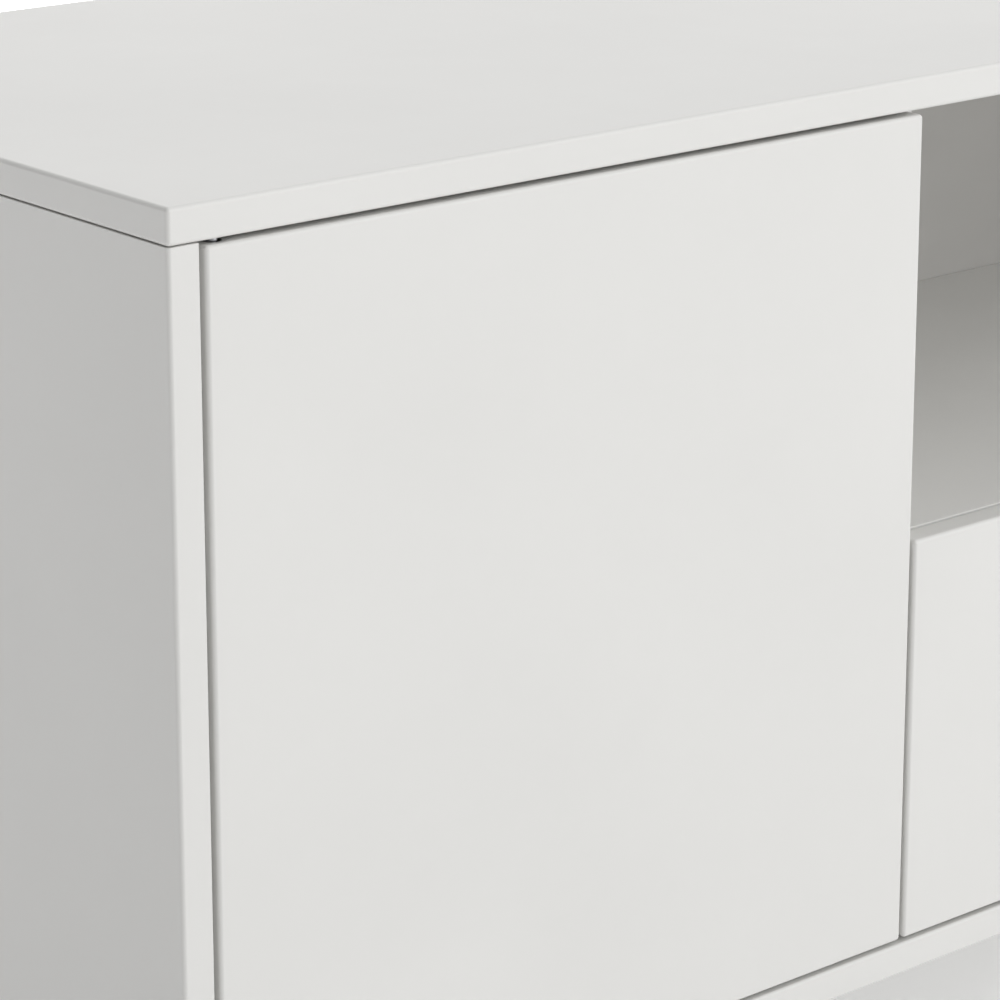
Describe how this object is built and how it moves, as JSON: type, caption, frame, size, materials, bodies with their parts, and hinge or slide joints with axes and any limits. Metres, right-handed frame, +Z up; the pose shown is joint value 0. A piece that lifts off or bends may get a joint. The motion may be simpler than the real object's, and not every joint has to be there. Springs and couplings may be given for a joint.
{
  "type": "tv stand with doors",
  "caption": "Low white TV stand with push-to-open doors, an open media bay over a wide drawer, and tapered legs.",
  "frame": {"origin": "on the floor under the middle of the stand", "axes": "+Z up, +X to the right seen from the front, +Y to the back"},
  "size_m": [1.6, 0.42, 0.55],
  "materials": {
    "white_foil": "satin white foil on particle board",
    "white_hardboard": "matt white painted hardboard",
    "white_steel": "white powder coat",
    "zinc_steel": "zinc plated",
    "nylon": "natural white",
    "grey_plastic": "light grey"
  },
  "bodies": {
    "cabinet": {"bottom_panel": "white_foil", "centre_back_panel": "white_hardboard", "centre_shelf": "white_foil", "hinge_bush_lower_left": "nylon", "hinge_bush_lower_right": "nylon", "hinge_bush_upper_left": "nylon", "hinge_bush_upper_right": "nylon", "latch_case_drawer": "grey_plastic", "latch_case_left": "grey_plastic", "latch_case_right": "grey_plastic", "left_back_panel": "white_hardboard", "left_cupboard_shelf": "white_foil", "left_partition": "white_foil", "left_side_panel": "white_foil", "leg_front_left": "white_steel", "leg_front_right": "white_steel", "leg_middle_left": "white_steel", "leg_middle_right": "white_steel", "leg_rear_left": "white_steel", "leg_rear_right": "white_steel", "right_back_panel": "white_hardboard", "right_cupboard_shelf": "white_foil", "right_partition": "white_foil", "right_side_panel": "white_foil", "runner_cabinet_left": "white_steel", "runner_cabinet_right": "white_steel", "shelf_pin_left_inner_front": "zinc_steel", "shelf_pin_left_inner_rear": "zinc_steel", "shelf_pin_left_outer_front": "zinc_steel", "shelf_pin_left_outer_rear": "zinc_steel", "shelf_pin_right_inner_front": "zinc_steel", "shelf_pin_right_inner_rear": "zinc_steel", "shelf_pin_right_outer_front": "zinc_steel", "shelf_pin_right_outer_rear": "zinc_steel", "top_panel": "white_foil"},
    "left_door_body": {"left_door": "white_foil", "strike_plate_left": "zinc_steel", "hinge_pin_upper_left": "zinc_steel", "hinge_pin_lower_left": "zinc_steel"},
    "right_door_body": {"right_door": "white_foil", "strike_plate_right": "zinc_steel", "hinge_pin_upper_right": "zinc_steel", "hinge_pin_lower_right": "zinc_steel"},
    "drawer": {"drawer_front": "white_foil", "strike_plate_drawer": "zinc_steel", "drawer_side_left": "white_foil", "drawer_side_right": "white_foil", "drawer_back": "white_foil", "drawer_bottom": "white_hardboard", "runner_drawer_left": "white_steel", "runner_drawer_right": "white_steel"},
    "front_roller_left": {"roller_front_left": "nylon"},
    "rear_roller_left": {"roller_rear_left": "nylon"},
    "front_roller_right": {"roller_front_right": "nylon"},
    "rear_roller_right": {"roller_rear_right": "nylon"},
    "plunger_left": {"latch_plunger_left": "nylon"},
    "plunger_right": {"latch_plunger_right": "nylon"},
    "plunger_drawer": {"latch_plunger_drawer": "nylon"}
  },
  "joints": [
    {"name": "left_door_hinge", "type": "hinge", "parent": "cabinet", "child": "left_door_body", "pos_m": [-0.7735, -0.2025, 0.325], "axis": [0, 0, -1], "range_deg": [0, 105]},
    {"name": "right_door_hinge", "type": "hinge", "parent": "cabinet", "child": "right_door_body", "pos_m": [0.7735, -0.2025, 0.325], "axis": [0, 0, 1], "range_deg": [0, 105]},
    {"name": "drawer_slide", "type": "slide", "parent": "cabinet", "child": "drawer", "axis": [0, -1, 0], "range_m": [0, 0.262]},
    {"name": "front_roller_spin_left", "type": "hinge", "parent": "cabinet", "child": "front_roller_left", "pos_m": [-0.35825, -0.174, 0.139], "axis": [1, 0, 0], "range_deg": [0, 1700]},
    {"name": "rear_roller_spin_left", "type": "hinge", "parent": "drawer", "child": "rear_roller_left", "pos_m": [-0.35825, 0.112, 0.1384], "axis": [1, 0, 0], "range_deg": [0, 1700]},
    {"name": "front_roller_spin_right", "type": "hinge", "parent": "cabinet", "child": "front_roller_right", "pos_m": [0.35825, -0.174, 0.139], "axis": [1, 0, 0], "range_deg": [0, 1700]},
    {"name": "rear_roller_spin_right", "type": "hinge", "parent": "drawer", "child": "rear_roller_right", "pos_m": [0.35825, 0.112, 0.1384], "axis": [1, 0, 0], "range_deg": [0, 1700]},
    {"name": "plunger_slide_left", "type": "slide", "parent": "cabinet", "child": "plunger_left", "axis": [0, -1, 0], "range_m": [0, 0.0141]},
    {"name": "plunger_slide_right", "type": "slide", "parent": "cabinet", "child": "plunger_right", "axis": [0, -1, 0], "range_m": [0, 0.0141]},
    {"name": "plunger_slide_drawer", "type": "slide", "parent": "cabinet", "child": "plunger_drawer", "axis": [0, -1, 0], "range_m": [0, 0.0141]}
  ],
  "couplings": [
    {"joint": "front_roller_spin_left", "follows": "drawer_slide", "rad_per_m": 111.11},
    {"joint": "rear_roller_spin_left", "follows": "drawer_slide", "rad_per_m": 111.11},
    {"joint": "front_roller_spin_right", "follows": "drawer_slide", "rad_per_m": 111.11},
    {"joint": "rear_roller_spin_right", "follows": "drawer_slide", "rad_per_m": 111.11},
    {"joint": "plunger_slide_left", "follows": "left_door_hinge", "m_per_rad": 0.0076},
    {"joint": "plunger_slide_right", "follows": "right_door_hinge", "m_per_rad": 0.0076},
    {"joint": "plunger_slide_drawer", "follows": "drawer_slide", "ratio": 0.053}
  ]
}
